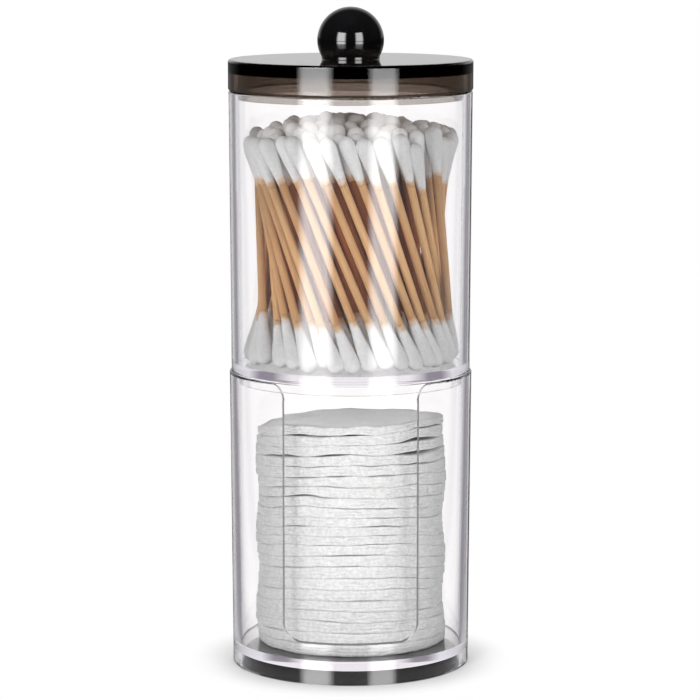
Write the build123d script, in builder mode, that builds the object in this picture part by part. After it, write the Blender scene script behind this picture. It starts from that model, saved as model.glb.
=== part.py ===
from build123d import *
import math
import os

# A round two-tier box for cotton swabs and cotton pads, in millimetres.
# The origin is the centre of the foot, +Z is up and the pad window faces -Y.

# Clear wall, common to both tiers
wall_thickness = 2.5
rim_round = 0.5
seat_gap = 0.1

# Lid
lid_radius = 38.1
lid_height = 9.6
lid_plate_thickness = 4.1
lid_skirt_wall = 2.2
lid_edge_round = 0.8
plug_height = 2.4
plug_wall = 2.0
plug_clearance = 0.4

# Lower box for the pads
box_rim_inset = 0.1
box_draft = 0.7
box_height = 92.8
foot_ring_height = 4.2
box_floor_thickness = 3.0
foot_ring_wall = 2.7

# Window in the front of the lower box
window_width = 40.6
window_sill_height = 12.8
window_corner_radius = 5.5
window_mouth_radius = 4.5

# Upper jar for the swabs
jar_rim_inset = 0.15
jar_draft = 0.55
jar_height = 87.6
jar_floor_thickness = 3.0
spigot_height = 3.1
spigot_wall = 2.2
spigot_clearance = 0.5

# Knob
knob_ball_diameter = 20.7
knob_foot_diameter = 18.2
knob_foot_rise = 0.8
knob_stud_diameter = 6.0
knob_stud_clearance = 0.1

# Cotton pads: the stack leans back, and its top pads lift on the right
pad_side_room = 5.3
pad_top_room = 19.5
pad_thickness = 2.88
pad_gap = 0.1
pad_sides = 18
pad_wave = 0.4
pad_shift = 0.5
pad_turn = 47.0
leaning_pad_count = 10
leaning_pad_tilt = 0.5
lifted_pad_count = 5
lifted_pad_tilt = 0.7

# Swabs: a bamboo stick with a cotton bud on each end
swab_top_room = 7.6
stick_diameter = 2.5
bud_length = 15.5
bud_diameter = 4.8
bud_tip_diameter = 3.0
bud_belly_length = 3.5
swab_sides = 6

# Bundle of swabs: rings of swabs that all lean the same way round
bundle_side_room = 0.5
ring_count = 6
inner_ring_radius = 2.0
bundle_twist = 52.0
swab_pitch = 4.95
swab_gap = 0.2

# Radii that follow from the sizes above
box_rim_radius = lid_radius - box_rim_inset
box_foot_radius = box_rim_radius - box_draft
jar_rim_radius = lid_radius - jar_rim_inset
jar_foot_radius = jar_rim_radius - jar_draft
box_rim_bore = box_rim_radius - wall_thickness
box_foot_bore = box_foot_radius - wall_thickness
jar_rim_bore = jar_rim_radius - wall_thickness
jar_foot_bore = jar_foot_radius - wall_thickness
pad_radius = box_foot_bore - pad_side_room
outer_ring_radius = jar_foot_bore - bundle_side_room - bud_diameter / 2
ring_step = (outer_ring_radius - inner_ring_radius) / (ring_count - 1)

# Heights that follow from the sizes above
box_floor_height = foot_ring_height + box_floor_thickness
jar_seat_height = box_height + seat_gap
jar_floor_height = jar_seat_height + jar_floor_thickness
jar_rim_height = jar_seat_height + jar_height
lid_seat_height = jar_rim_height + seat_gap
lid_top_height = lid_seat_height + lid_height
lid_underside_height = lid_top_height - lid_plate_thickness
pad_count = int((box_height - box_floor_height - pad_top_room) / (pad_thickness + pad_gap))
swab_length = jar_height - jar_floor_thickness - swab_top_room
cut_margin = 5.0


def swab_lean(ring_radius):
    """Angle in degrees between a swab of this ring and the vertical."""
    run = 2 * ring_radius * math.sin(math.radians(bundle_twist / 2))
    return math.degrees(math.asin(run / swab_length))


def swab_count(ring_radius):
    """How many swabs fit side by side in this ring."""
    room = 2 * ring_radius * math.cos(math.radians(swab_lean(ring_radius)))
    if room <= swab_pitch:
        return 1
    return int(math.pi / math.asin(swab_pitch / room))


def swab_ends(ring_radius, index):
    """Lower and upper end of one swab's axis."""
    lean = math.radians(swab_lean(ring_radius))
    lower_height = jar_floor_height + swab_gap + bud_tip_diameter / 2 * math.sin(lean)
    upper_height = lower_height + swab_length * math.cos(lean)
    middle_angle = 360 / swab_count(ring_radius) * index
    lower_angle = math.radians(middle_angle + bundle_twist / 2)
    upper_angle = math.radians(middle_angle - bundle_twist / 2)
    lower = Vector(
        ring_radius * math.cos(lower_angle), ring_radius * math.sin(lower_angle), lower_height
    )
    upper = Vector(
        ring_radius * math.cos(upper_angle), ring_radius * math.sin(upper_angle), upper_height
    )
    return lower, upper


# Lower box: a drafted cup on a foot ring
with BuildPart() as lower_box:
    with BuildSketch(Plane.XZ) as box_section:
        with BuildLine():
            Polyline(
                (0, foot_ring_height),
                (box_foot_radius - foot_ring_wall, foot_ring_height),
                (box_foot_radius - foot_ring_wall, 0),
                (box_foot_radius, 0),
                (box_rim_radius, box_height),
                (box_rim_bore, box_height),
                (box_foot_bore, box_floor_height),
                (0, box_floor_height),
                close=True,
            )
        make_face()
    revolve(axis=Axis.Z)
    fillet(lower_box.edges().group_by(Axis.Z)[-1], radius=rim_round)

    # Window through the front wall, open at the rim
    window_height = box_height - window_sill_height
    with BuildSketch(Plane.XZ) as window_section:
        with Locations((0, window_sill_height + window_height / 2)):
            Rectangle(window_width, window_height)
        fillet(window_section.vertices().group_by(Axis.Z)[0], radius=window_corner_radius)
        with Locations((0, box_height - window_mouth_radius / 2)):
            Rectangle(window_width + 2 * window_mouth_radius, window_mouth_radius)
        mouth_side = window_width / 2 + window_mouth_radius
        mouth_centre_height = box_height - window_mouth_radius
        with Locations((-mouth_side, mouth_centre_height), (mouth_side, mouth_centre_height)):
            Circle(window_mouth_radius, mode=Mode.SUBTRACT)
    extrude(amount=box_rim_radius + cut_margin, mode=Mode.SUBTRACT)
lower_box.part.label = "lower_box"

# Upper jar: a drafted cup with a spigot that drops into the box
with BuildPart() as upper_jar:
    spigot_radius = box_rim_bore - spigot_clearance
    with BuildSketch(Plane.XZ) as jar_section:
        with BuildLine():
            Polyline(
                (0, jar_seat_height),
                (spigot_radius - spigot_wall, jar_seat_height),
                (spigot_radius - spigot_wall, jar_seat_height - spigot_height),
                (spigot_radius, jar_seat_height - spigot_height),
                (spigot_radius, jar_seat_height),
                (jar_foot_radius, jar_seat_height),
                (jar_rim_radius, jar_rim_height),
                (jar_rim_bore, jar_rim_height),
                (jar_foot_bore, jar_floor_height),
                (0, jar_floor_height),
                close=True,
            )
        make_face()
    revolve(axis=Axis.Z)
    fillet(upper_jar.edges().group_by(Axis.Z)[-1], radius=rim_round)
upper_jar.part.label = "upper_jar"

# Lid: a plate with a skirt on the jar's rim and a plug ring inside it
with BuildPart() as lid:
    plug_radius = jar_rim_bore - plug_clearance
    with BuildSketch(Plane.XY.offset(lid_underside_height)):
        Circle(lid_radius)
    extrude(amount=lid_plate_thickness)
    with BuildSketch(Plane.XY.offset(lid_seat_height)):
        Circle(lid_radius)
        Circle(lid_radius - lid_skirt_wall, mode=Mode.SUBTRACT)
    extrude(amount=lid_height - lid_plate_thickness)
    fillet(lid.edges().group_by(Axis.Z)[-1], radius=lid_edge_round)
    outer_seat_edge = lid.edges().group_by(Axis.Z)[0].sort_by(SortBy.RADIUS)[-1]
    fillet(outer_seat_edge, radius=lid_edge_round)
    with BuildSketch(Plane.XY.offset(lid_seat_height - plug_height)):
        Circle(plug_radius)
        Circle(plug_radius - plug_wall, mode=Mode.SUBTRACT)
    extrude(amount=lid_underside_height - lid_seat_height + plug_height)
    with Locations((0, 0, lid_top_height)):
        Hole(radius=knob_stud_diameter / 2 + knob_stud_clearance, depth=lid_plate_thickness)
lid.part.label = "lid"

# Knob: a ball with a flat foot and a stud through the lid
with BuildPart() as knob:
    knob_foot_radius = knob_foot_diameter / 2
    ball_radius = knob_ball_diameter / 2
    ball_drop = math.sqrt(ball_radius**2 - knob_foot_radius**2)
    ball_centre_height = lid_top_height + seat_gap + knob_foot_rise + ball_drop
    with BuildSketch(Plane.XZ) as knob_section:
        with BuildLine():
            ball_arc = CenterArc(
                (0, ball_centre_height),
                ball_radius,
                90,
                -90 - math.degrees(math.asin(ball_drop / ball_radius)),
            )
            Polyline(
                ball_arc @ 1,
                (knob_foot_radius, lid_top_height + seat_gap),
                (knob_stud_diameter / 2, lid_top_height + seat_gap),
                (knob_stud_diameter / 2, lid_underside_height),
                (0, lid_underside_height),
                ball_arc @ 0,
            )
        make_face()
    revolve(axis=Axis.Z)
knob.part.label = "knob"

# Cotton pads: each pad is a little steeper than the one it lies on
pads = []
pad_reach = pad_radius + pad_wave + pad_shift
lower_face_height = box_floor_height + pad_gap
lower_slopes = (0, 0)
for index in range(pad_count):
    lean = min(index, leaning_pad_count) * leaning_pad_tilt
    lift = max(0, index - (pad_count - lifted_pad_count) + 1) * lifted_pad_tilt
    slope_right = math.tan(math.radians(lift))
    slope_back = -math.tan(math.radians(lean))
    added_slope = math.dist(lower_slopes, (slope_right, slope_back))
    lower_face_height += pad_reach * added_slope
    lower_slopes = (slope_right, slope_back)
    pad_plane = Plane(
        origin=(0, 0, lower_face_height),
        x_dir=(1, 0, slope_right),
        z_dir=(-slope_right, -slope_back, 1),
    )
    pad_direction = math.radians(pad_turn * index)
    pad_corners = []
    for corner in range(pad_sides):
        angle = 2 * math.pi * corner / pad_sides
        radius = pad_radius + pad_wave * math.sin(2 * angle + pad_direction)
        corner_x = pad_shift * math.cos(pad_direction) + radius * math.cos(angle)
        corner_y = pad_shift * math.sin(pad_direction) + radius * math.sin(angle)
        pad_corners.append((corner_x, corner_y))
    with BuildPart() as pad:
        with BuildSketch(pad_plane):
            Polygon(*pad_corners, align=None)
        extrude(amount=pad_thickness)
    pad.part.label = f"cotton_pad_{index + 1:02d}"
    pads.append(pad.part)
    lower_face_height += pad_thickness * math.hypot(1, slope_right, slope_back) + pad_gap

# One cotton bud, tip down at the origin
with BuildPart() as bud:
    bud_sections = (
        (0, bud_tip_diameter),
        (bud_belly_length, bud_diameter),
        (bud_length, stick_diameter),
    )
    for (lower_at, lower_width), (upper_at, upper_width) in zip(bud_sections, bud_sections[1:]):
        with BuildSketch(Plane.XY.offset(lower_at)):
            RegularPolygon(lower_width / 2, swab_sides)
        with BuildSketch(Plane.XY.offset(upper_at)):
            RegularPolygon(upper_width / 2, swab_sides)
        loft(ruled=True)

# One bare stick, standing on its lower end at the origin
with BuildPart() as stick:
    with BuildSketch():
        RegularPolygon(stick_diameter / 2, swab_sides)
    extrude(amount=swab_length - 2 * bud_length)

# The rings of the bundle, from the jar's wall inwards
swab_rings = []
for ring in range(ring_count):
    ring_radius = inner_ring_radius + (ring_count - 1 - ring) * ring_step
    stick_places = []
    bud_places = []
    for index in range(swab_count(ring_radius)):
        lower, upper = swab_ends(ring_radius, index)
        axis_direction = (upper - lower).normalized()
        bud_places.append(Plane(origin=lower, z_dir=axis_direction).location)
        bud_places.append(Plane(origin=upper, z_dir=axis_direction * -1).location)
        stick_foot = lower + axis_direction * bud_length
        stick_places.append(Plane(origin=stick_foot, z_dir=axis_direction).location)
    with BuildPart() as ring_sticks:
        with Locations(*stick_places):
            add(stick.part)
    ring_sticks.part.label = f"swab_sticks_ring_{ring + 1}"
    with BuildPart() as ring_buds:
        with Locations(*bud_places):
            add(bud.part)
    ring_buds.part.label = f"swab_buds_ring_{ring + 1}"
    swab_rings.extend((ring_sticks.part, ring_buds.part))

os.makedirs("parts", exist_ok=True)
for piece in (lower_box.part, upper_jar.part, lid.part, knob.part, *pads, *swab_rings):
    export_step(piece, f"parts/{piece.label}.step")
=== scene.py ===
import math

import bpy
import numpy as np
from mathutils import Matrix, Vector, noise


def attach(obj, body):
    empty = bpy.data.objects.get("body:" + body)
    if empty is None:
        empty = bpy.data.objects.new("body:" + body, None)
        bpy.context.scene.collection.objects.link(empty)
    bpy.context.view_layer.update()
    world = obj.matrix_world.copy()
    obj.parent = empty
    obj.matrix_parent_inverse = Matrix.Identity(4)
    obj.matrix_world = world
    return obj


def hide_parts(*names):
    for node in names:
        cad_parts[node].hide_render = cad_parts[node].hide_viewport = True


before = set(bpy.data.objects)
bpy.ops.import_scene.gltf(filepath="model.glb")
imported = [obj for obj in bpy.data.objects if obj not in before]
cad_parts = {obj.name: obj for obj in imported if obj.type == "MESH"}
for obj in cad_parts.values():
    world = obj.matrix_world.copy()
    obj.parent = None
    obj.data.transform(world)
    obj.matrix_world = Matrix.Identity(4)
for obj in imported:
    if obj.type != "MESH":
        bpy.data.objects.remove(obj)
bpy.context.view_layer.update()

# Lengths are in metres and angles in radians, unless a name says degrees.

# Camera, fitted to the ellipses of the lid and the foot
CAMERA_POSITION = (-0.0002, -0.9811, 0.2450)
CAMERA_TILT_DEGREES = 8.47
CAMERA_LENS_MM = 162.2
SENSOR_WIDTH_MM = 36.0

# Room: its strength as light on the object, and behind clear walls
ROOM_LIGHT = 0.48
ROOM_BEHIND = 1.08
# What clear walls show of the room, by the share of a direction that points to its back
CLEAR_VIEW = [
    (0.30, (0.80, 0.80, 0.80)),
    (0.80, (0.90, 0.90, 0.92)),
    (0.875, (0.33, 0.31, 0.35)),
    (0.925, (0.33, 0.31, 0.35)),
    (0.965, (1.0, 0.98, 0.985)),
]
# The room in reflections: where it rises along an axis, from which strength to which
ROOM_MIRRORED = [
    ("Y", (0.55, 0.97, 0.02, 0.75)),
    ("Z", (-0.02, 0.02, 0.15, 1.0)),
]

# Floor
FLOOR_RADIUS = 1.5
FLOOR_SIDES = 64
FLOOR_COLOUR = (0.88, 0.88, 0.88)
# Painted shadow: a dark disc on the floor under the foot, given by its colour, radius and fade
FLOOR_PAINTED_SHADOW_COLOUR = (0.035, 0.032, 0.032)
FLOOR_PAINTED_SHADOW_RADIUS = 0.0376
FLOOR_PAINTED_SHADOW_FADE = 0.002
FLOOR_VIEW_SHIFT = 0.12
FLOOR_SHADOW_RADIUS = 0.039
FLOOR_WHITE_RADIUS = 0.053

# Lamps: azimuth in degrees from the front, height, distance, the lamp's own width and height,
# and power in watts
LAMPS = {
    "lamp_left": (-26, 0.55, 1.25, 0.3, 0.8, 5.2),
    "lamp_right": (31, 0.55, 1.25, 0.3, 0.8, 2.5),
    "lamp_back": (180, 0.36, 1.2, 0.9, 0.3, 10.0),
    "lamp_top": (0, 1.5, 0.05, 1.2, 1.2, 14.0),
}
LAMP_TARGET = (0.0, 0.0, 0.09)

# Reflection cards: from and to azimuth in degrees from the front, and strength
CARDS = {
    "card_left": (-51, -15, 13.2),
    "card_right": (15, 46, 11.5),
}
CARD_DISTANCE = 1.3
CARD_LOW = -0.55
CARD_HIGH = 0.85
CARD_COLUMNS = 25
CARD_SOFT_SHARE = 0.22
# A card's share of its strength by height: weaker where the foot's pale band and the seam
# mirror it, and where the jar's top does
CARD_STOPS = [
    (-0.338, 0.75),
    (-0.332, 0.60),
    (-0.330, 0.12),
    (-0.323, 0.12),
    (-0.320, 0.68),
    (-0.124, 0.95),
    (-0.121, 0.35),
    (-0.111, 0.35),
    (-0.107, 0.95),
    (0.040, 1.0),
    (0.075, 1.15),
    (0.10, 0.75),
    (0.14, 0.30),
    (0.20, 1.0),
]

# Materials. An absorption is a colour and a density; noise scales are per metre.
WHITE = (1.0, 1.0, 1.0, 1.0)
CLEAR_ABSORPTION = ((0.74, 0.70, 0.78), 9.0)
CLEAR_SHADOW = (0.96, 0.96, 0.96)
SMOKE_ABSORPTION = ((0.30, 0.20, 0.12), 470.0)
SMOKE_SHADOW = (0.75, 0.70, 0.66)
CLEAR_IOR = 1.49
CLEAR_ROUGHNESS = 0.02
CUT_TRANSMISSION = 0.1
BLACK_TONES = [(0.3, (0.003, 0.003, 0.003)), (0.7, (0.006, 0.006, 0.007))]
BLACK_IOR = 1.5
BLACK_ROUGHNESS = 0.055
BAMBOO_TONES = [
    (0.28, (0.55, 0.26, 0.10)),
    (0.46, (0.86, 0.50, 0.23)),
    (0.70, (0.95, 0.68, 0.40)),
]
# Painted shade: the dark red-brown that the sticks of the inner rings are mixed towards
BAMBOO_PAINTED_SHADE = (0.31, 0.058, 0.005, 1.0)
BAMBOO_UNDER_COTTON = (0.74, 0.43, 0.21, 1.0)
# Cotton: fibre scale, bump distance, darker and lighter tone, and fuzz
BUD_COTTON = (2600.0, 0.00012, (0.84, 0.84, 0.84), (0.95, 0.95, 0.95), 0.4)
PAD_COTTON = (1900.0, 0.00022, (0.68, 0.68, 0.68), (0.87, 0.87, 0.87), 1.0)

# Swabs
BUD_RADIUS = 0.00262
BUD_LEAST_RADIUS = 0.00012
BUD_TIP_LENGTH = 0.0028
BUD_SIDES = 20
BUD_ROWS = 18
# Each bud's length and radius, as shares of the CAD bud's length and of BUD_RADIUS
BUD_LENGTH_SHARES = (0.96, 1.16)
BUD_RADIUS_SHARES = (0.93, 1.02)
STICK_SIDES = 14
STICK_START_SHARE = 0.8
STICK_TONES = (0.72, 1.0)
# Painted shade: how light the sticks are painted by ring, from the outermost inwards
PAINTED_RING_SHADES = (1.0, 0.16, 0.0)
GRAIN_PER_METRE = 40
SWAB_SCATTER = 0.0013
SWAB_TOP_SCATTER = 1.9
SWAB_LIFT = 0.0012
EXTRA_TWIST_DEGREES = 20.0
EXTRA_TWIST_SIDE_DEGREES = 200.0
EXTRA_TWIST_RADIUS = 0.032
# The least distance between swabs that the settling works towards, by the share of their length
BUD_GAP = 2 * BUD_RADIUS * 0.97
STICK_GAP = 0.0026
SWAB_GAPS = ((0.05, BUD_GAP), (0.5, STICK_GAP), (0.3, STICK_GAP), (0.7, STICK_GAP), (0.95, BUD_GAP))
SWAB_SETTLE_STEPS = 80
SWAB_SETTLE_RATE = 0.35
BUNDLE_CLEARANCE = 0.0002

# Pads
PAD_SIDES = 400
PAD_EDGE_ROWS = 21
PAD_FACE_RINGS = 5
PAD_WAVE = 0.0016
PAD_ARCH = 0.0020
PAD_GAP = 0.00004
PAD_SLIT = 0.00065
PAD_LOOSE_GAP = 0.0016
PAD_LOOSE_FROM = 0.72
PAD_LOOSE_SPAN = 0.28
PAD_PLIES = 3
PAD_PLY_GROOVE = 0.00022
PAD_PLY_GROOVE_CHANGE = 0.00050
PAD_RIM_ROUNDING = 0.00035
# Gaps at the front of the stack: seam, and the gap's middle, half length and width
PAD_OPENINGS = [
    (21, -0.0120, 0.0095, 0.0009),
    (21, 0.0250, 0.0060, 0.0006),
    (20, 0.0220, 0.0080, 0.0007),
    (19, 0.0210, 0.0085, 0.0014),
    (19, -0.0200, 0.0065, 0.0010),
    (17, -0.0040, 0.0050, 0.0004),
]

# A Mix node's colour sockets share their names with its other sockets, so they go by place
MIX_FIRST_COLOUR, MIX_SECOND_COLOUR, MIX_RESULT_COLOUR = 6, 7, 2


# Helpers for nodes

def new_material(name):
    material = bpy.data.materials.new(name)
    material.use_nodes = True
    nodes = material.node_tree.nodes
    shader = nodes["Principled BSDF"]
    return material, nodes, material.node_tree.links, shader


def set_inputs(node, values):
    """Sets a node's inputs by name."""
    for name, value in values.items():
        node.inputs[name].default_value = value


def feed(links, socket, value):
    """Links a socket to another node's output, or sets it to a plain value."""
    if isinstance(value, bpy.types.NodeSocket):
        links.new(value, socket)
    else:
        socket.default_value = value


def maths(nodes, links, operation, *values):
    node = nodes.new("ShaderNodeMath")
    node.operation = operation
    for socket, value in zip(node.inputs, values):
        feed(links, socket, value)
    return node.outputs["Value"]


def vector_maths(nodes, links, operation, *values, result="Vector"):
    node = nodes.new("ShaderNodeVectorMath")
    node.operation = operation
    for socket, value in zip(node.inputs, values):
        feed(links, socket, value)
    return node.outputs[result]


def map_range(nodes, links, value, from_min, from_max, to_min=0.0, to_max=1.0, smooth=False):
    node = nodes.new("ShaderNodeMapRange")
    node.interpolation_type = "SMOOTHSTEP" if smooth else "LINEAR"
    limits = {"From Min": from_min, "From Max": from_max, "To Min": to_min, "To Max": to_max}
    set_inputs(node, limits)
    links.new(value, node.inputs["Value"])
    return node.outputs["Result"]


def mix_numbers(nodes, links, factor, first, second):
    node = nodes.new("ShaderNodeMix")
    node.data_type = "FLOAT"
    for name, value in (("Factor", factor), ("A", first), ("B", second)):
        feed(links, node.inputs[name], value)
    return node.outputs["Result"]


def mix_colours(nodes, links, factor, first, second):
    node = nodes.new("ShaderNodeMix")
    node.data_type = "RGBA"
    for key, value in (("Factor", factor), (MIX_FIRST_COLOUR, first), (MIX_SECOND_COLOUR, second)):
        feed(links, node.inputs[key], value)
    return node.outputs[MIX_RESULT_COLOUR]


def mix_surfaces(nodes, links, factor, first, second):
    """Ends a material in a mix of two shaders."""
    node = nodes.new("ShaderNodeMixShader")
    for socket, value in zip(node.inputs, (factor, first, second)):
        links.new(value, socket)
    links.new(node.outputs["Shader"], nodes["Material Output"].inputs["Surface"])


def attribute(nodes, name):
    node = nodes.new("ShaderNodeAttribute")
    node.attribute_name = name
    return node.outputs["Fac"]


def object_coordinates(nodes):
    return nodes.new("ShaderNodeTexCoord").outputs["Object"]


def noise_texture(nodes, links, coordinates, scale, detail=3.0, roughness=0.5, distortion=0.0):
    node = nodes.new("ShaderNodeTexNoise")
    settings = {"Scale": scale, "Detail": detail, "Roughness": roughness, "Distortion": distortion}
    set_inputs(node, settings)
    links.new(coordinates, node.inputs["Vector"])
    return node.outputs["Fac"]


def add_bump(nodes, links, height, strength, distance, normal=None):
    node = nodes.new("ShaderNodeBump")
    set_inputs(node, {"Strength": strength, "Distance": distance})
    links.new(height, node.inputs["Height"])
    if normal is not None:
        links.new(normal, node.inputs["Normal"])
    return node.outputs["Normal"]


def colour_ramp(nodes, links, factor, stops):
    ramp = nodes.new("ShaderNodeValToRGB")
    elements = ramp.color_ramp.elements
    while len(elements) < len(stops):
        elements.new(0.5)
    for element, (position, colour) in zip(elements, stops):
        element.position = position
        element.color = (*colour, 1.0)
    links.new(factor, ramp.inputs["Fac"])
    return ramp.outputs["Color"]


# Materials

def moulded_plastic(name, absorption, shadow_colour, pale_cuts=False):
    """Clear or tinted moulded plastic: sharp gloss, and colour that deepens with its thickness."""
    material, nodes, links, shader = new_material(name)
    set_inputs(shader, {"Base Color": WHITE, "Transmission Weight": 1.0, "IOR": CLEAR_IOR})
    places = object_coordinates(nodes)
    ripple = noise_texture(nodes, links, places, 55.0, detail=2.0)
    links.new(add_bump(nodes, links, ripple, 0.04, 0.0006), shader.inputs["Normal"])
    haze = noise_texture(nodes, links, places, 160.0)
    roughness = map_range(nodes, links, haze, 0.0, 1.0, 0.0, CLEAR_ROUGHNESS)
    links.new(roughness, shader.inputs["Roughness"])
    if pale_cuts:
        links.new(clear_share(nodes, links, places), shader.inputs["Transmission Weight"])
    inside = nodes.new("ShaderNodeVolumeAbsorption")
    colour, density = absorption
    set_inputs(inside, {"Color": (*colour, 1.0), "Density": density})
    links.new(inside.outputs["Volume"], nodes["Material Output"].inputs["Volume"])
    let_light_through(nodes, links, shader, shadow_colour)
    return material


def clear_share(nodes, links, places):
    """1 on the walls' round faces, and little where a face cuts across a wall, as at the window."""
    around = vector_maths(nodes, links, "CROSS_PRODUCT", places, (0.0, 0.0, 1.0))
    unit = vector_maths(nodes, links, "NORMALIZE", around)
    normal = nodes.new("ShaderNodeNewGeometry").outputs["True Normal"]
    facing = vector_maths(nodes, links, "DOT_PRODUCT", unit, normal, result="Value")
    size = maths(nodes, links, "ABSOLUTE", facing)
    return map_range(nodes, links, size, 0.3, 0.6, 1.0, CUT_TRANSMISSION)


def let_light_through(nodes, links, shader, shadow_colour):
    """Lets lamps' light and its bounces pass a clear wall unbent, and less of it at a slant."""
    facing = nodes.new("ShaderNodeLayerWeight")
    facing.inputs["Blend"].default_value = 0.5
    slanting_colour = tuple(0.1 * channel for channel in shadow_colour)
    stops = [(0.28, shadow_colour), (0.62, slanting_colour)]
    passing = nodes.new("ShaderNodeBsdfTransparent")
    links.new(colour_ramp(nodes, links, facing.outputs["Facing"], stops), passing.inputs["Color"])
    path = nodes.new("ShaderNodeLightPath").outputs
    either = maths(nodes, links, "MAXIMUM", path["Is Shadow Ray"], path["Is Diffuse Ray"])
    mix_surfaces(nodes, links, either, shader.outputs["BSDF"], passing.outputs["BSDF"])


def black_plastic():
    material, nodes, links, shader = new_material("black_plastic")
    places = object_coordinates(nodes)
    mottle = noise_texture(nodes, links, places, 120.0)
    links.new(colour_ramp(nodes, links, mottle, BLACK_TONES), shader.inputs["Base Color"])
    set_inputs(shader, {"Roughness": BLACK_ROUGHNESS, "IOR": BLACK_IOR})
    ripple = noise_texture(nodes, links, places, 70.0, detail=2.0)
    links.new(add_bump(nodes, links, ripple, 0.03, 0.0005), shader.inputs["Normal"])
    return material


def cotton(name, fibre_scale, bump_distance, shade, light, fuzz):
    """White cotton: matt, a little translucent at its edges, with tangled fibres."""
    material, nodes, links, shader = new_material(name)
    places = object_coordinates(nodes)
    cloud = noise_texture(nodes, links, places, fibre_scale * 0.45, 5.0, 0.7)
    tone = colour_ramp(nodes, links, cloud, [(0.32, shade), (0.62, light)])

    # Thin cotton shows the stick under it
    streaks = noise_texture(nodes, links, places, 420.0)
    ragged = maths(nodes, links, "MULTIPLY_ADD", streaks, 0.3, attribute(nodes, "thin_cotton"))
    shows = map_range(nodes, links, ragged, 0.93, 1.13, smooth=True)
    colour = mix_colours(nodes, links, shows, tone, BAMBOO_UNDER_COTTON)
    links.new(colour, shader.inputs["Base Color"])
    settings = {
        "Roughness": 0.95,
        "Specular IOR Level": 0.15,
        "Sheen Weight": fuzz,
        "Sheen Roughness": 0.5,
        "Subsurface Weight": 0.25,
        "Subsurface Radius": (1.0, 0.95, 0.9),
        "Subsurface Scale": 0.0012,
    }
    set_inputs(shader, settings)
    fibres = noise_texture(nodes, links, places, fibre_scale, 6.0, 0.65, distortion=1.6)
    coarse = add_bump(nodes, links, cloud, 0.35, bump_distance * 2.0)
    fine = add_bump(nodes, links, fibres, 0.6, bump_distance, coarse)
    links.new(fine, shader.inputs["Normal"])
    return material


def bamboo():
    """Bare bamboo: a straw tone of its own on each stick, darkened towards a painted shade on the
    inner rings, with dark pores drawn out along it.
    """
    material, nodes, links, shader = new_material("bamboo")
    grain_places = nodes.new("ShaderNodeUVMap")
    grain_places.uv_map = "grain"
    stretch = nodes.new("ShaderNodeMapping")
    stretch.inputs["Scale"].default_value = (9.0, 0.9, 1.0)
    links.new(grain_places.outputs["UV"], stretch.inputs["Vector"])
    grain = noise_texture(nodes, links, stretch.outputs["Vector"], 3.0, 5.0, 0.6)
    straw = colour_ramp(nodes, links, grain, BAMBOO_TONES)
    # Each stick's own tone times the painted shade of its ring
    tone_with_painted_shade = attribute(nodes, "stick_tone_and_shade")
    colour = mix_colours(nodes, links, tone_with_painted_shade, BAMBOO_PAINTED_SHADE, straw)
    links.new(colour, shader.inputs["Base Color"])
    set_inputs(shader, {"Roughness": 0.6, "Specular IOR Level": 0.04})
    links.new(add_bump(nodes, links, grain, 0.4, 0.0001), shader.inputs["Normal"])
    return material


# Helpers for meshes

def mesh_object(name, points, faces, material, uvs=None):
    mesh = bpy.data.meshes.new(name)
    mesh.from_pydata([tuple(p) for p in points], [], faces)
    mesh.materials.append(material)
    if uvs is not None:
        layer = mesh.uv_layers.new(name="grain")
        for loop in mesh.loops:
            layer.data[loop.index].uv = uvs[loop.vertex_index]
    mesh.shade_smooth()
    mesh.update()
    piece = bpy.data.objects.new(name, mesh)
    bpy.context.scene.collection.objects.link(piece)
    return piece


def set_attribute(piece, name, values):
    """Gives each point of a piece a number that its material reads."""
    piece.data.attributes.new(name, "FLOAT", "POINT").data.foreach_set("value", values)


def grid_faces(rows, sides, first=0):
    """Quads between rings of points, each ring closed on itself."""
    faces = []
    for row in range(rows - 1):
        for side in range(sides):
            following = (side + 1) % sides
            low, high = first + row * sides, first + (row + 1) * sides
            faces.append((low + side, low + following, high + following, high + side))
    return faces


def closed_grid_faces(rows, sides, first=0):
    """The same quads, with a face over each end."""
    last = first + (rows - 1) * sides
    bottom = tuple(range(first + sides - 1, first - 1, -1))
    top = tuple(range(last, last + sides))
    return [*grid_faces(rows, sides, first), bottom, top]


def separate_solids(node):
    """The corner points of each separate solid in a CAD node."""
    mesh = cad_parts[node].data
    points = np.array([vertex.co[:] for vertex in mesh.vertices])
    corners, corner_of = np.unique(np.round(points, 7), axis=0, return_inverse=True)
    corner_of = corner_of.ravel()
    leader = list(range(len(corners)))

    def find(corner):
        while leader[corner] != corner:
            leader[corner] = leader[leader[corner]]
            corner = leader[corner]
        return corner

    for face in mesh.polygons:
        first, *others = [find(corner_of[v]) for v in face.vertices]
        for other in others:
            leader[find(other)] = find(first)
    groups = {}
    for corner in range(len(corners)):
        groups.setdefault(find(corner), []).append(corners[corner])
    return [np.array(group) for group in groups.values()]


def long_axis(points):
    """Middle, upward direction and half length of a slender solid."""
    middle = points.mean(0)
    direction = np.linalg.svd(points - middle)[2][0]
    if direction[2] < 0:
        direction = -direction
    along = (points - middle) @ direction
    return middle + direction * (along.max() + along.min()) / 2, direction, np.ptp(along) / 2


def across(direction):
    """Two unit vectors square to a direction."""
    side = np.cross(direction, (0.0, 0.0, 1.0))
    if np.linalg.norm(side) < 1e-6:
        side = np.array((1.0, 0.0, 0.0))
    side = side / np.linalg.norm(side)
    return side, np.cross(direction, side)


# Swabs

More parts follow.
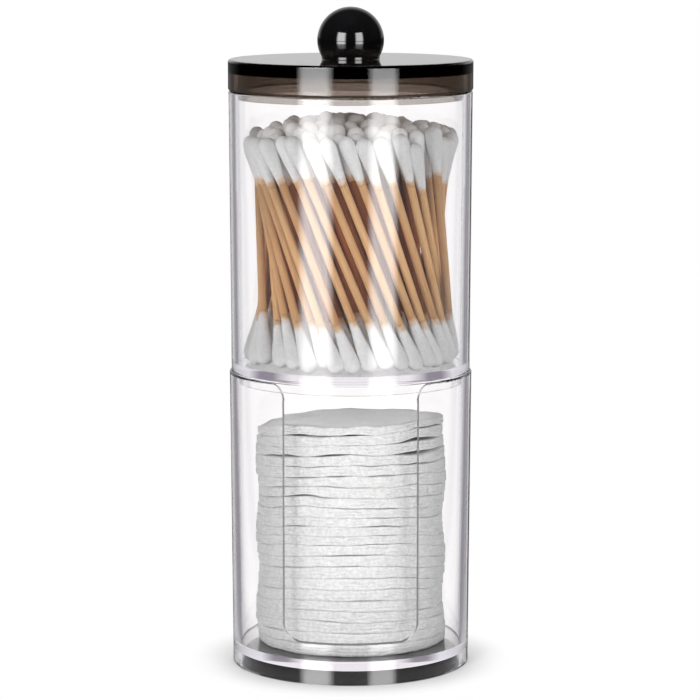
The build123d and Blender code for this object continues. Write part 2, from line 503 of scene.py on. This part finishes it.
def settled(lower, upper, reach):
    """Moves the swabs' ends sideways, which takes most of the overlap between swabs away."""
    count = len(lower)
    for _ in range(SWAB_SETTLE_STEPS):
        for share, gap in SWAB_GAPS:
            places = lower * (1 - share) + upper * share
            offsets = places[:, None, :] - places[None, :, :]
            distances = np.linalg.norm(offsets, axis=2) + np.eye(count)
            push = np.clip(gap - distances, 0, None) / distances * (1 - np.eye(count))
            move = (push[:, :, None] * offsets).sum(1) * SWAB_SETTLE_RATE
            lower += move * (1 - share)
            upper += move * share
        for ends in (lower, upper):
            radius = np.linalg.norm(ends, axis=1)
            ends *= np.minimum(1.0, reach / np.maximum(radius, 1e-9))[:, None]
    return lower, upper


def twisted_more(lower, upper):
    """Ends of the swabs, with a stronger twist on the left of the bundle, where it is looser."""
    middle = (lower + upper) / 2
    towards = np.arctan2(middle[:, 1], middle[:, 0]) - math.radians(EXTRA_TWIST_SIDE_DEGREES)
    outwards = np.linalg.norm(lower, axis=1) / EXTRA_TWIST_RADIUS
    share = np.clip(np.cos(towards), 0, None) ** 2 * outwards
    turn = np.radians(EXTRA_TWIST_DEGREES) / 2 * share
    turned = []
    for ends, angle in ((lower, turn), (upper, -turn)):
        x = ends[:, 0] * np.cos(angle) - ends[:, 1] * np.sin(angle)
        y = ends[:, 0] * np.sin(angle) + ends[:, 1] * np.cos(angle)
        turned.append(np.column_stack((x, y)))
    return turned


def swab_axes(ring_names, half_swab):
    """The swabs' axes from the CAD sticks, scattered a little and settled against each other."""
    spread = np.random.default_rng(7)
    rings, lower, upper = [], [], []
    for ring in ring_names:
        for solid in separate_solids(f"swab_sticks_{ring}"):
            middle, direction, _ = long_axis(solid)
            rings.append(ring)
            lower.append(middle - direction * half_swab)
            upper.append(middle + direction * half_swab)
    lower, upper = np.array(lower), np.array(upper)
    floor = lower[:, 2].min() + spread.uniform(0, SWAB_LIFT, len(lower))
    reach = np.linalg.norm(lower[:, :2], axis=1).max() - BUNDLE_CLEARANCE
    low_xy, high_xy = twisted_more(lower[:, :2], upper[:, :2])
    low_xy = low_xy + spread.normal(0, SWAB_SCATTER, low_xy.shape)
    high_xy = high_xy + spread.normal(0, SWAB_SCATTER * SWAB_TOP_SCATTER, high_xy.shape)
    low_xy, high_xy = settled(low_xy, high_xy, reach)
    axes = []
    for ring, low, high, foot in zip(rings, low_xy, high_xy, floor):
        run = np.linalg.norm(high - low)
        rise = math.sqrt((2 * half_swab) ** 2 - run**2)
        start = np.array((*low, foot))
        direction = (np.array((*high, foot + rise)) - start) / (2 * half_swab)
        axes.append((ring, start, direction))
    return axes


def bud_radius(along, length, radius, stick_radius):
    """Radius of a bud at a distance from its tip."""
    if along < BUD_TIP_LENGTH:
        return radius * math.sqrt(max(0.0, 1 - (1 - along / BUD_TIP_LENGTH) ** 2))
    share = (along - BUD_TIP_LENGTH) / (length - BUD_TIP_LENGTH)
    fall = share * share * (3 - 2 * share) * 0.55 + share * 0.45
    return radius + (stick_radius * 0.985 - radius) * fall


def add_bud(points, faces, thinness, tip, direction, length, radius, stick_radius, seed):
    """One wound cotton bud, from its tip back to the stick."""
    side, other = across(direction)
    first = len(points)
    for row in range(BUD_ROWS):
        share = (row / (BUD_ROWS - 1)) ** 1.25
        along = share * length
        size = max(BUD_LEAST_RADIUS, bud_radius(along, length, radius, stick_radius))
        for step in range(BUD_SIDES):
            angle = 2 * math.pi * step / BUD_SIDES
            spot = Vector((math.cos(angle) * 1.7 + seed, math.sin(angle) * 1.7, along * 420))
            ragged = 1 + 0.055 * noise.noise(spot) + 0.03 * noise.noise(spot * 2.7)
            out = side * math.cos(angle) + other * math.sin(angle)
            points.append(tip + direction * along + out * size * ragged)
            thinness.append(share)
    faces.extend(closed_grid_faces(BUD_ROWS, BUD_SIDES, first))


def add_stick(points, faces, uvs, tones_and_shades, start, direction, length, radius, seed, tone):
    """One round stick, with its grain laid out along its length."""
    side, other = across(direction)
    first = len(points)
    for end in (0, 1):
        for step in range(STICK_SIDES):
            angle = 2 * math.pi * step / STICK_SIDES
            out = side * math.cos(angle) + other * math.sin(angle)
            points.append(start + direction * length * end + out * radius)
            turn = abs(step / STICK_SIDES * 2 - 1)
            uvs.append((turn + seed, end * length * GRAIN_PER_METRE + seed * 3.1))
            tones_and_shades.append(tone)
    faces.extend(closed_grid_faces(2, STICK_SIDES, first))


def cad_swab_sizes(ring):
    """Half length and radius of a CAD stick, and the length of a CAD bud."""
    solid = separate_solids(f"swab_sticks_{ring}")[0]
    _, direction, half_stick = long_axis(solid)
    offsets = solid - solid.mean(0)
    beside = offsets - np.outer(offsets @ direction, direction)
    half_bud = long_axis(separate_solids(f"swab_buds_{ring}")[0])[2]
    return half_stick, np.linalg.norm(beside, axis=1).max(), 2 * half_bud


def build_swabs(stick_material, bud_material):
    """All swabs by ring; the random draws keep their order, so that the bundle stays the same."""
    prefix = "swab_sticks_"
    ring_names = sorted(
        name.removeprefix(prefix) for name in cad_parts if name.startswith(prefix)
    )
    half_stick, stick_radius, bud_length = cad_swab_sizes(ring_names[0])
    half_swab = half_stick + bud_length
    spread = np.random.default_rng(21)
    by_ring = {ring: [] for ring in ring_names}
    for ring, start, direction in swab_axes(ring_names, half_swab):
        by_ring[ring].append((start, direction))
    for depth, ring in enumerate(ring_names):
        stick_points, stick_faces, uvs, tones_and_shades = [], [], [], []
        bud_points, bud_faces, thinness = [], [], []
        painted_ring_shade = PAINTED_RING_SHADES[min(depth, len(PAINTED_RING_SHADES) - 1)]
        for start, direction in by_ring[ring]:
            end = start + direction * 2 * half_swab
            seed = spread.uniform(0, 40)
            # Each stick's own random tone, darkened by the painted shade of its ring
            tone = spread.uniform(*STICK_TONES) * painted_ring_shade
            for tip, inward in ((start, direction), (end, -direction)):
                length = bud_length * spread.uniform(*BUD_LENGTH_SHARES)
                radius = BUD_RADIUS * spread.uniform(*BUD_RADIUS_SHARES)
                bud_seed = spread.uniform(0, 90)
                add_bud(
                    bud_points, bud_faces, thinness, tip, inward,
                    length, radius, stick_radius, bud_seed,
                )
            stick_start = start + direction * bud_length * STICK_START_SHARE
            stick_length = 2 * half_swab - bud_length * (2 * STICK_START_SHARE)
            add_stick(
                stick_points, stick_faces, uvs, tones_and_shades, stick_start, direction,
                stick_length, stick_radius, seed, tone,
            )
        sticks = mesh_object(f"sticks_{ring}", stick_points, stick_faces, stick_material, uvs)
        set_attribute(sticks, "stick_tone_and_shade", tones_and_shades)
        buds = mesh_object(f"buds_{ring}", bud_points, bud_faces, bud_material)
        set_attribute(buds, "thin_cotton", thinness)
        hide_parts(f"swab_sticks_{ring}")
        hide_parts(f"swab_buds_{ring}")
        for piece in (sticks, buds):
            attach(piece, "jar")


# Cotton pads

def fitted_plane(points):
    """Height at x, y of the plane that fits some points."""
    terms = np.column_stack((points[:, :2], np.ones(len(points))))
    slope_x, slope_y, height = np.linalg.lstsq(terms, points[:, 2], rcond=None)[0]
    return lambda x, y: slope_x * x + slope_y * y + height


def pad_shape(node):
    """Lower and upper face of a CAD pad as sloping planes, and its outline."""
    solid = separate_solids(node)[0]
    order = np.argsort(solid[:, 2] - fitted_plane(solid)(solid[:, 0], solid[:, 1]))
    lower, upper = solid[order[: len(order) // 2]], solid[order[len(order) // 2 :]]
    outline = lower[np.argsort(np.arctan2(lower[:, 1], lower[:, 0]))][:, :2]
    return fitted_plane(lower), fitted_plane(upper), outline


def seam_height(planes, layer, x, y, reach):
    """Height of the wavy seam under one layer of the stack."""
    share = layer / (len(planes) - 1)
    arch = PAD_ARCH * math.sin(math.pi * min(1.0, share * 1.1) ** 0.8)
    spot = Vector((x * 48 + 3.1, y * 48, layer * 0.34))
    wave = PAD_WAVE * noise.noise(spot) + PAD_WAVE * 0.3 * noise.noise(spot * 3.1)
    calm = min(1.0, layer / 3) * (0.45 + 0.55 * share**2)
    return planes[layer](x, y) - arch * (x / reach) ** 2 + calm * wave


def seam_gap(layer, layers, x, y):
    """Width of a seam: tight low in the stack, and gaping here and there near its top."""
    loose = max(0.0, (layer / layers - PAD_LOOSE_FROM) / PAD_LOOSE_SPAN)
    opening = max(0.0, noise.noise(Vector((x * 46, y * 20 + 9, layer * 3.7))) - 0.04)
    slit = max(0.0, noise.noise(Vector((x * 90, y * 90, layer * 5.3))) + 0.05)
    gap = PAD_GAP + PAD_SLIT * slit + PAD_LOOSE_GAP * loose * opening
    for seam, middle, half_length, width in PAD_OPENINGS:
        if seam == layer and y < 0:
            away = min(1.0, abs(x - middle) / half_length)
            gap += width * (1 - away * away) ** 1.5
    return gap


def edge_inset(x, y, layer, turn):
    """How far a pad's ragged edge lies inside its outline; turn is -1 at its lower rim and 1 at
    its upper."""
    spot = Vector((x * 1000, y * 1000, layer * 9.1))
    inset = 0.00030 * noise.noise(spot * 0.22) + 0.00022 * noise.noise(spot * 0.9)
    fray = Vector((x * 1000, y * 1000, layer * 9.1 + turn * 1.6))
    inset += 0.00020 * noise.noise(fray * 1.7)
    inset += (PAD_RIM_ROUNDING + PAD_RIM_ROUNDING * noise.noise(spot * 0.3)) * abs(turn) ** 5
    for ply in range(1, PAD_PLIES):
        groove = turn - (2 * ply / PAD_PLIES - 1) - 0.35 * noise.noise(spot * 0.25)
        change = noise.noise(spot * 0.3 + Vector((0, 0, ply * 5.0)))
        depth = PAD_PLY_GROOVE + PAD_PLY_GROOVE_CHANGE * change
        inset += max(0.0, depth) * math.exp(-((groove * 8) ** 2))
    return inset


def build_pad(node, layer, planes, outline, material):
    """A soft pressed pad: wavy faces, and a ragged edge of several plies."""
    angles = np.arctan2(outline[:, 1], outline[:, 0])
    radii = np.linalg.norm(outline, axis=1)
    reach = radii.max()
    layers = len(planes)
    shrinks = [0.02 + 0.95 * (ring / PAD_FACE_RINGS) ** 0.7 for ring in range(PAD_FACE_RINGS)]
    sections = [(shrink, -1.0) for shrink in shrinks]
    sections += [(1.0, turn) for turn in np.linspace(-1, 1, PAD_EDGE_ROWS)]
    sections += [(shrink, 1.0) for shrink in reversed(shrinks)]
    points = []
    for shrink, turn in sections:
        for step in range(PAD_SIDES):
            angle = 2 * math.pi * step / PAD_SIDES - math.pi
            radius = np.interp(angle, angles, radii, period=2 * math.pi)
            rim_x, rim_y = radius * math.cos(angle), radius * math.sin(angle)
            radius = (radius - edge_inset(rim_x, rim_y, layer, turn)) * shrink
            x, y = radius * math.cos(angle), radius * math.sin(angle)
            low_gap, high_gap = seam_gap(layer, layers, x, y), seam_gap(layer + 1, layers, x, y)
            low = seam_height(planes, layer, x, y, reach) + low_gap / 2
            high = seam_height(planes, layer + 1, x, y, reach) - high_gap / 2
            points.append((x, y, (low + high) / 2 + turn * (high - low) / 2))
    faces = closed_grid_faces(len(sections), PAD_SIDES)
    piece = mesh_object(node.replace("cotton_pad", "soft_pad"), points, faces, material)
    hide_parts(node)
    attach(piece, "dispenser")


def build_pads(material):
    pad_nodes = sorted(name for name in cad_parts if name.startswith("cotton_pad_"))
    shapes = [pad_shape(node) for node in pad_nodes]
    planes = [lower for lower, _, _ in shapes] + [shapes[-1][1]]
    for layer, node in enumerate(pad_nodes):
        build_pad(node, layer, planes, shapes[layer][2], material)


# Studio

def clear_view(nodes, links, way):
    """Colour that clear walls show for a direction or place, by how far it points to the back."""
    level = vector_maths(nodes, links, "MULTIPLY", way, (1.0, 1.0, 0.0))
    parts = nodes.new("ShaderNodeSeparateXYZ")
    links.new(vector_maths(nodes, links, "NORMALIZE", level), parts.inputs["Vector"])
    return colour_ramp(nodes, links, parts.outputs["Y"], CLEAR_VIEW)


def white_world():
    """White to the camera, plain soft light on the object, and a dark room in its reflections."""
    world = bpy.data.worlds.new("studio")
    bpy.context.scene.world = world
    world.use_nodes = True
    nodes, links = world.node_tree.nodes, world.node_tree.links
    background = nodes["Background"]
    sight = nodes.new("ShaderNodeTexCoord").outputs["Generated"]
    direction = nodes.new("ShaderNodeSeparateXYZ")
    links.new(sight, direction.inputs["Vector"])
    path = nodes.new("ShaderNodeLightPath").outputs
    rises = [
        map_range(nodes, links, direction.outputs[axis], *limits, smooth=True)
        for axis, limits in ROOM_MIRRORED
    ]
    mirrored = maths(nodes, links, "MULTIPLY", *rises)
    strength = mix_numbers(nodes, links, path["Is Glossy Ray"], ROOM_LIGHT, mirrored)
    strength = mix_numbers(nodes, links, path["Is Transmission Ray"], strength, ROOM_BEHIND)
    strength = mix_numbers(nodes, links, path["Is Camera Ray"], strength, 1.0)
    links.new(strength, background.inputs["Strength"])
    view = clear_view(nodes, links, sight)
    colour = mix_colours(nodes, links, path["Is Transmission Ray"], WHITE, view)
    links.new(colour, background.inputs["Color"])


def pale_floor():
    """A white floor that keeps the shadow at the foot, with a dark disc of painted shadow under the
    foot, and runs out into the white ground.
    """
    material, nodes, links, shader = new_material("pale_floor")
    set_inputs(shader, {"Roughness": 0.8, "Specular IOR Level": 0.1})
    place = object_coordinates(nodes)
    radius = vector_maths(nodes, links, "LENGTH", place, result="Value")
    # Painted shadow: the floor's colour turns dark in a disc under the foot
    painted_shadow_from = FLOOR_PAINTED_SHADOW_RADIUS - FLOOR_PAINTED_SHADOW_FADE
    painted_shadow = map_range(nodes, links, radius, painted_shadow_from, FLOOR_PAINTED_SHADOW_RADIUS)
    shades = [(0.0, FLOOR_PAINTED_SHADOW_COLOUR), (1.0, FLOOR_COLOUR)]
    links.new(colour_ramp(nodes, links, painted_shadow, shades), shader.inputs["Base Color"])

    # Beyond the shadow the camera sees plain white, and clear walls see CLEAR_VIEW
    fade = map_range(nodes, links, radius, FLOOR_SHADOW_RADIUS, FLOOR_WHITE_RADIUS, smooth=True)
    shifted = vector_maths(nodes, links, "ADD", place, (0.0, FLOOR_VIEW_SHIFT, 0.0))
    view = clear_view(nodes, links, shifted)
    path = nodes.new("ShaderNodeLightPath").outputs
    through = path["Is Transmission Ray"]
    glow = nodes.new("ShaderNodeEmission")
    links.new(mix_colours(nodes, links, through, WHITE, view), glow.inputs["Color"])
    links.new(mix_numbers(nodes, links, through, 1.0, ROOM_BEHIND), glow.inputs["Strength"])
    seen = maths(nodes, links, "SUBTRACT", 1.0, path["Is Diffuse Ray"])
    share = maths(nodes, links, "MULTIPLY", fade, seen)
    mix_surfaces(nodes, links, share, shader.outputs["BSDF"], glow.outputs["Emission"])

    angles = np.linspace(0, 2 * math.pi, FLOOR_SIDES, endpoint=False)
    points = [(FLOOR_RADIUS * math.cos(a), FLOOR_RADIUS * math.sin(a), 0.0) for a in angles]
    floor = mesh_object("floor", points, [tuple(range(FLOOR_SIDES))], material)
    floor.visible_glossy = False


def soft_lamp(name, azimuth_degrees, height, distance, width, tall, power):
    """A large soft lamp that lights the object and stays out of its reflections."""
    lamp = bpy.data.lights.new(name, "AREA")
    lamp.shape = "RECTANGLE"
    lamp.size = width
    lamp.size_y = tall
    lamp.energy = power
    holder = bpy.data.objects.new(name, lamp)
    azimuth = math.radians(azimuth_degrees)
    holder.location = (distance * math.sin(azimuth), -distance * math.cos(azimuth), height)
    towards = Vector(LAMP_TARGET) - holder.location
    holder.rotation_euler = towards.to_track_quat("-Z", "Y").to_euler()
    holder.visible_camera = False
    holder.visible_glossy = False
    holder.visible_transmission = False
    bpy.context.scene.collection.objects.link(holder)


def card_material(name, strength):
    """Light by height, weaker towards the card's sides."""
    material, nodes, links, _ = new_material(name)
    place = nodes.new("ShaderNodeSeparateXYZ")
    links.new(object_coordinates(nodes), place.inputs["Vector"])
    height = map_range(nodes, links, place.outputs["Z"], CARD_LOW, CARD_HIGH)
    stops = [
        ((level - CARD_LOW) / (CARD_HIGH - CARD_LOW), (share * strength,) * 3)
        for level, share in CARD_STOPS
    ]
    by_height = colour_ramp(nodes, links, height, stops)
    light = maths(nodes, links, "MULTIPLY", by_height, attribute(nodes, "card_inside"))
    glow = nodes.new("ShaderNodeEmission")
    links.new(light, glow.inputs["Strength"])
    links.new(glow.outputs["Emission"], nodes["Material Output"].inputs["Surface"])
    return material


def reflection_card(name, from_degrees, to_degrees, strength):
    """A bright upright card with soft sides, seen only as a stripe in glossy surfaces."""
    shares = np.linspace(0, 1, CARD_COLUMNS)
    angles = np.radians(from_degrees + shares * (to_degrees - from_degrees))
    points, faces, inside = [], [], []
    for angle, share in zip(angles, shares):
        x, y = CARD_DISTANCE * math.sin(angle), -CARD_DISTANCE * math.cos(angle)
        for height in (CARD_LOW, CARD_HIGH):
            points.append((x, y, height))
            inside.append(min(1.0, min(share, 1 - share) / CARD_SOFT_SHARE))
    for step in range(CARD_COLUMNS - 1):
        faces.append((2 * step, 2 * step + 1, 2 * step + 3, 2 * step + 2))
    card = mesh_object(name, points, faces, card_material(name, strength))
    set_attribute(card, "card_inside", inside)
    card.visible_camera = False
    card.visible_diffuse = False
    card.visible_transmission = False
    card.visible_shadow = False


def build_studio():
    white_world()
    pale_floor()
    for name, settings in LAMPS.items():
        soft_lamp(name, *settings)
    for name, settings in CARDS.items():
        reflection_card(name, *settings)


def build_camera():
    lens = bpy.data.cameras.new("camera")
    lens.lens = CAMERA_LENS_MM
    lens.sensor_width = SENSOR_WIDTH_MM
    holder = bpy.data.objects.new("camera", lens)
    holder.location = CAMERA_POSITION
    holder.rotation_euler = (math.radians(90 - CAMERA_TILT_DEGREES), 0.0, 0.0)
    bpy.context.scene.collection.objects.link(holder)
    bpy.context.scene.camera = holder


# The dressed object

def dress(node, material):
    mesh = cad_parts[node].data
    mesh.materials.clear()
    mesh.materials.append(material)


clear_plastic = moulded_plastic("clear_plastic", CLEAR_ABSORPTION, CLEAR_SHADOW)
box_plastic = moulded_plastic("box_plastic", CLEAR_ABSORPTION, CLEAR_SHADOW, pale_cuts=True)
smoke_plastic = moulded_plastic("smoke_plastic", SMOKE_ABSORPTION, SMOKE_SHADOW)
dress("lower_box", box_plastic)
dress("upper_jar", clear_plastic)
dress("lid", smoke_plastic)
dress("knob", black_plastic())
build_swabs(bamboo(), cotton("bud_cotton", *BUD_COTTON))
build_pads(cotton("pad_cotton", *PAD_COTTON))
build_studio()
build_camera()

view_settings = bpy.context.scene.view_settings
view_settings.view_transform = "Standard"
